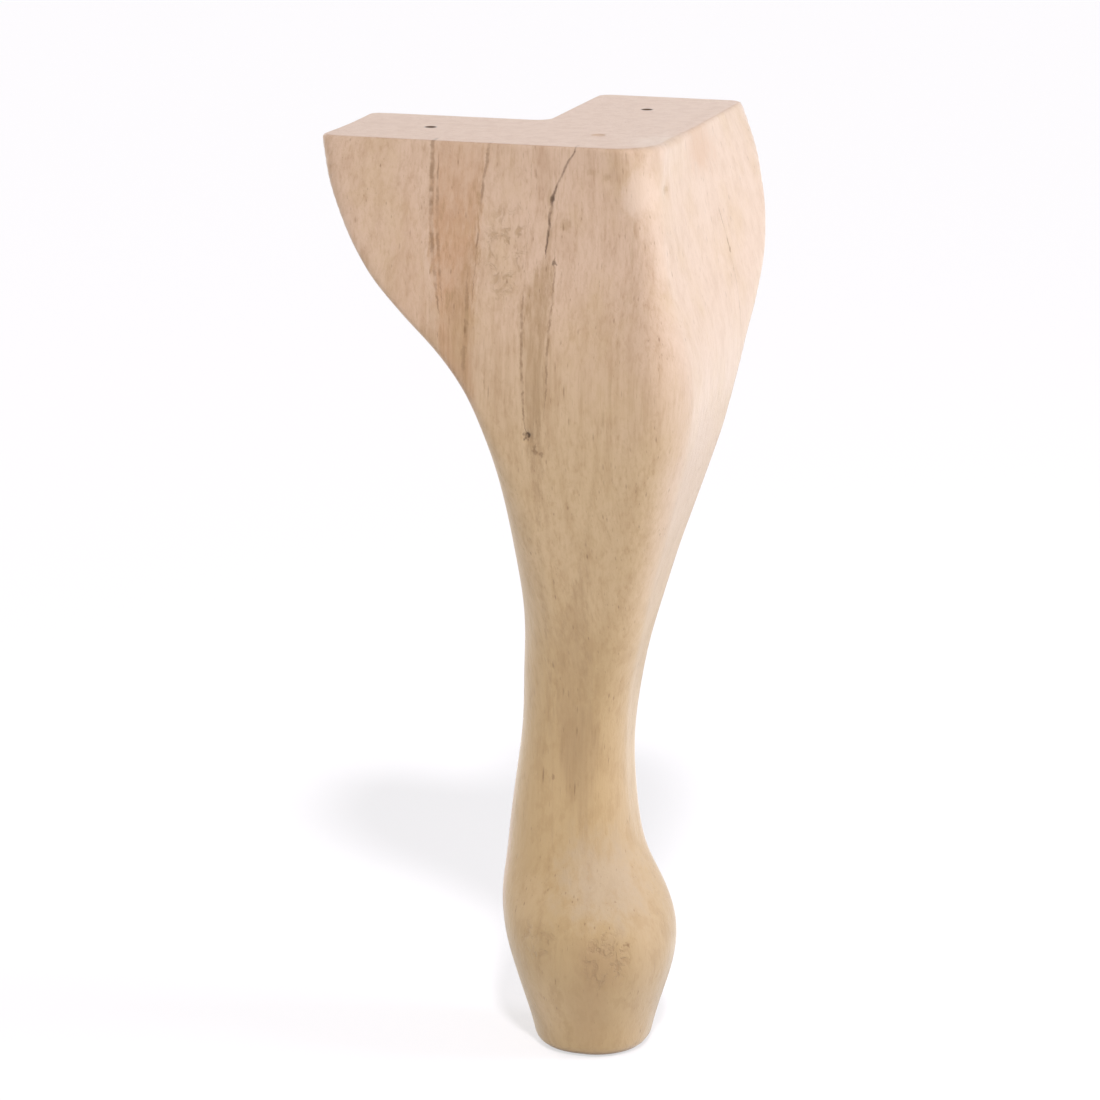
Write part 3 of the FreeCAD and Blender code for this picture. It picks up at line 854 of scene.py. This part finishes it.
def fibre_bump(n, g, pore, checks, torn):
    """Normal of a surface with fine fibres raised, and vessels, checks, torn fibres and flecks sunk."""
    fibre = n.noise(n.stretch(g.along, 2.6, 2.6, 0.06), 2.0)
    height = n.math("MULTIPLY", fibre, 0.25)
    for mask, deep in ((pore, 0.6), (checks, 2.0), (torn, 3.0), (g.fleck, 0.8)):
        height = n.math("SUBTRACT", height, n.math("MULTIPLY", mask, deep))
    feeds = (("Strength", 0.45), ("Distance", 0.0004), ("Height", height))
    return n.make("ShaderNodeBump", feeds).outputs[0]


def raw_wood(look, s):
    """Raw carved wood: growth bands across X, open vessels along Z, drying checks, sawn top face."""
    material = bpy.data.materials.new("raw_wood")
    n = new_tree(material)
    g = Grain(n, s)
    colour = wood_tone(n, g, look)
    colour = growth_bands(n, g, look, colour)
    colour = soft_patches(n, g, look, colour)
    pore, torn = open_vessels(n, g), torn_fibres(n, g)
    colour = n.mix(pore, colour, rgb(look.vessel_and_sole_shade))
    colour = n.mix(torn, colour, rgb(look.brown))
    colour = sawn_top(n, g, look, colour)
    colour, checks = drawn_lines(n, g, look, colour)
    colour = dark_spots(n, g, look, colour)
    # Painted contact shadow: the sole edge is darkened where it stands on the floor
    colour = n.mix(n.remap(g.z, 0.7, 2.4, 0.85, 0.0), colour, rgb(look.vessel_and_sole_shade))
    colour = painted_bore_shade(n, g, look, colour, s)
    feeds = (
        ("Base Color", colour),
        ("Roughness", n.remap(g.fine, 0.3, 0.8, 0.60, 0.74)),
        ("Normal", fibre_bump(n, g, pore, checks, torn)),
        ("Specular IOR Level", 0.42),
        ("Sheen Weight", 0.5),
        ("Sheen Roughness", 0.4),
    )
    shader = n.make("ShaderNodeBsdfPrincipled", feeds)
    n.make("ShaderNodeOutputMaterial", (("Surface", shader.outputs[0]),))
    return material


# Stage

# Half the width of the floor, and how far it lies below the foot
FLOOR_REACH, FLOOR_GAP = 30.0, 0.0002

# Key and rim lamps: the way their light comes from, and its spread in degrees
KEY_FROM, KEY_SPREAD = (0.236, -0.582, 0.778), 6.0
RIM_FROM, RIM_SPREAD = (-0.80, 0.56, 0.22), 40.0

# Side lamp: its place, what it is turned to, its width and its colour
SIDE_PLACE, SIDE_AIM, SIDE_SIZE, SIDE_COLOUR = (0.72, 0.15, 0.44), (0.0, 0.0, 0.24), 0.30, (0.97, 1.0, 1.06)

# View: turn to the right and tilt down in degrees, distance, height of its aim, shift along the picture
VIEW_TURN, VIEW_TILT, VIEW_DISTANCE, VIEW_HEIGHT, VIEW_SHIFT = 17.30, 14.94, 1.276, 0.1667, -0.015

# Camera: width of its sensor in millimetres, nearest and farthest distance it sees
SENSOR_WIDTH, NEAR_SIGHT, FAR_SIGHT = 36.0, 0.05, 100.0


def seen_rays(n):
    """1 for rays from the view and for mirrored and refracted ones, else 0."""
    rays = n.make("ShaderNodeLightPath").outputs
    return n.largest([rays[kind] for kind in ("Is Camera Ray", "Is Glossy Ray", "Is Transmission Ray")])


def floor_material(look):
    """White floor: it lights the leg from below, and shows the view a soft shadow on white."""
    material = bpy.data.materials.new("studio_floor")
    n = new_tree(material)
    paper = n.make("ShaderNodeBsdfDiffuse", (("Color", rgb(look.floor)),))
    shade = n.make("ShaderNodeBsdfDiffuse", (("Color", rgb(look.shade)),))
    white = n.make("ShaderNodeEmission", (("Strength", look.glow),))
    shown = n.make("ShaderNodeAddShader", ((0, shade.outputs[0]), (1, white.outputs[0])))
    feeds = ((0, seen_rays(n)), (1, paper.outputs[0]), (2, shown.outputs[0]))
    floor = n.make("ShaderNodeMixShader", feeds)
    n.make("ShaderNodeOutputMaterial", (("Surface", floor.outputs[0]),))
    return material


def white_floor(look):
    """Square floor just under the foot."""
    mesh = bpy.data.meshes.new("floor")
    corners = [(x * FLOOR_REACH, y * FLOOR_REACH, 0) for x, y in ((-1, -1), (1, -1), (1, 1), (-1, 1))]
    mesh.from_pydata(corners, [], [(0, 1, 2, 3)])
    mesh.materials.append(floor_material(look))
    floor = bpy.data.objects.new("floor", mesh)
    floor.location.z = -FLOOR_GAP
    bpy.context.collection.objects.link(floor)
    return floor


def sun(name, towards, strength, spread):
    """Sun lamp whose light comes from a direction, with a spread in degrees."""
    lamp = bpy.data.lights.new(name, "SUN")
    lamp.energy = strength
    lamp.angle = math.radians(spread)
    holder = bpy.data.objects.new(name, lamp)
    holder.rotation_euler = Vector(towards).to_track_quat("Z", "Y").to_euler()
    bpy.context.collection.objects.link(holder)


def softbox(name, place, aim, power, size, colour):
    """Square lamp at a place, turned to an aim."""
    lamp = bpy.data.lights.new(name, "AREA")
    lamp.energy, lamp.size, lamp.color = power, size, colour
    holder = bpy.data.objects.new(name, lamp)
    holder.location = place
    holder.rotation_euler = (Vector(place) - Vector(aim)).to_track_quat("Z", "Y").to_euler()
    bpy.context.collection.objects.link(holder)


def studio_sky(look):
    """Sky that is white where it is seen, and lights the leg evenly at its own level."""
    world = bpy.data.worlds.new("studio")
    n = new_tree(world)
    feeds = ((0, seen_rays(n)), (2, look.sky), (3, 1.0))
    level = n.make("ShaderNodeMix", feeds, data_type="FLOAT").outputs[0]
    back = n.make("ShaderNodeBackground", (("Color", (1, 1, 1, 1)), ("Strength", level)))
    n.make("ShaderNodeOutputWorld", (("Surface", back.outputs[0]),))
    return world


def studio_camera(look):
    """Camera turned to the right and tilted down, back from its aim on the carving axis."""
    camera = bpy.data.cameras.new("camera")
    camera.lens, camera.sensor_width = look.lens, SENSOR_WIDTH
    camera.clip_start, camera.clip_end = NEAR_SIGHT, FAR_SIGHT
    turn, tilt = math.radians(VIEW_TURN), math.radians(VIEW_TILT)
    level = math.cos(tilt)
    right = Vector((math.cos(turn), math.sin(turn), 0))
    ahead = Vector((-math.sin(turn) * level, math.cos(turn) * level, -math.sin(tilt)))
    up = right.cross(ahead)
    eye = Vector((0, 0, VIEW_HEIGHT)) + right * VIEW_SHIFT - ahead * VIEW_DISTANCE
    holder = bpy.data.objects.new("camera", camera)
    holder.matrix_world = Matrix(
        (
            (right.x, up.x, -ahead.x, eye.x),
            (right.y, up.y, -ahead.y, eye.y),
            (right.z, up.z, -ahead.z, eye.z),
            (0, 0, 0, 1),
        )
    )
    bpy.context.collection.objects.link(holder)
    return holder


class LEG_OT_carved_body(bpy.types.Operator):
    """Build the carved leg in raw wood over its solid"""

    bl_idname = "leg.carved_body"
    bl_label = "Carved leg"

    def execute(self, context):
        sizes, look = context.scene.leg_sizes, context.scene.leg_wood
        piece = put_mesh("carved_leg", *leg_mesh(sizes))
        piece.data.materials.append(raw_wood(look, sizes))
        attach(piece, "root")
        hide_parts("cabriole_leg")
        return {"FINISHED"}


class LEG_OT_stage(bpy.types.Operator):
    """Put up the floor, the lamps and the camera"""

    bl_idname = "leg.stage"
    bl_label = "Stage"

    def execute(self, context):
        scene, look = context.scene, context.scene.leg_stage
        floor = white_floor(look)
        sun("key_lamp", KEY_FROM, look.key, KEY_SPREAD)
        softbox("side_lamp", SIDE_PLACE, SIDE_AIM, look.side, SIDE_SIZE, SIDE_COLOUR)
        sun("rim_lamp", RIM_FROM, look.rim, RIM_SPREAD)
        scene.world = studio_sky(look)
        scene.camera = studio_camera(look)
        scene.view_settings.view_transform = "Standard"
        return {"FINISHED"}


class LEG_PT_panel(bpy.types.Panel):
    """Pieces and sizes of the leg"""

    bl_label = "Cabriole leg"
    bl_space_type = "VIEW_3D"
    bl_region_type = "UI"
    bl_category = "Leg"

    def draw(self, context):
        column = self.layout.column()
        for group in (context.scene.leg_sizes, context.scene.leg_wood, context.scene.leg_stage):
            for name in group.__annotations__:
                column.prop(group, name)
        column.operator("leg.carved_body")
        column.operator("leg.stage")


CLASSES = (LegSizes, WoodLook, StageLook, LEG_OT_carved_body, LEG_OT_stage, LEG_PT_panel)


def register():
    """Add the classes, and the sizes and looks to the scene."""
    for cls in CLASSES:
        bpy.utils.register_class(cls)
    bpy.types.Scene.leg_sizes = PointerProperty(type=LegSizes)
    bpy.types.Scene.leg_wood = PointerProperty(type=WoodLook)
    bpy.types.Scene.leg_stage = PointerProperty(type=StageLook)


def unregister():
    """Take away what register added."""
    del bpy.types.Scene.leg_stage, bpy.types.Scene.leg_wood, bpy.types.Scene.leg_sizes
    for cls in reversed(CLASSES):
        bpy.utils.unregister_class(cls)


def main():
    """Build the leg and its stage."""
    register()
    bpy.ops.leg.carved_body()
    bpy.ops.leg.stage()


if __name__ == "__main__":
    main()
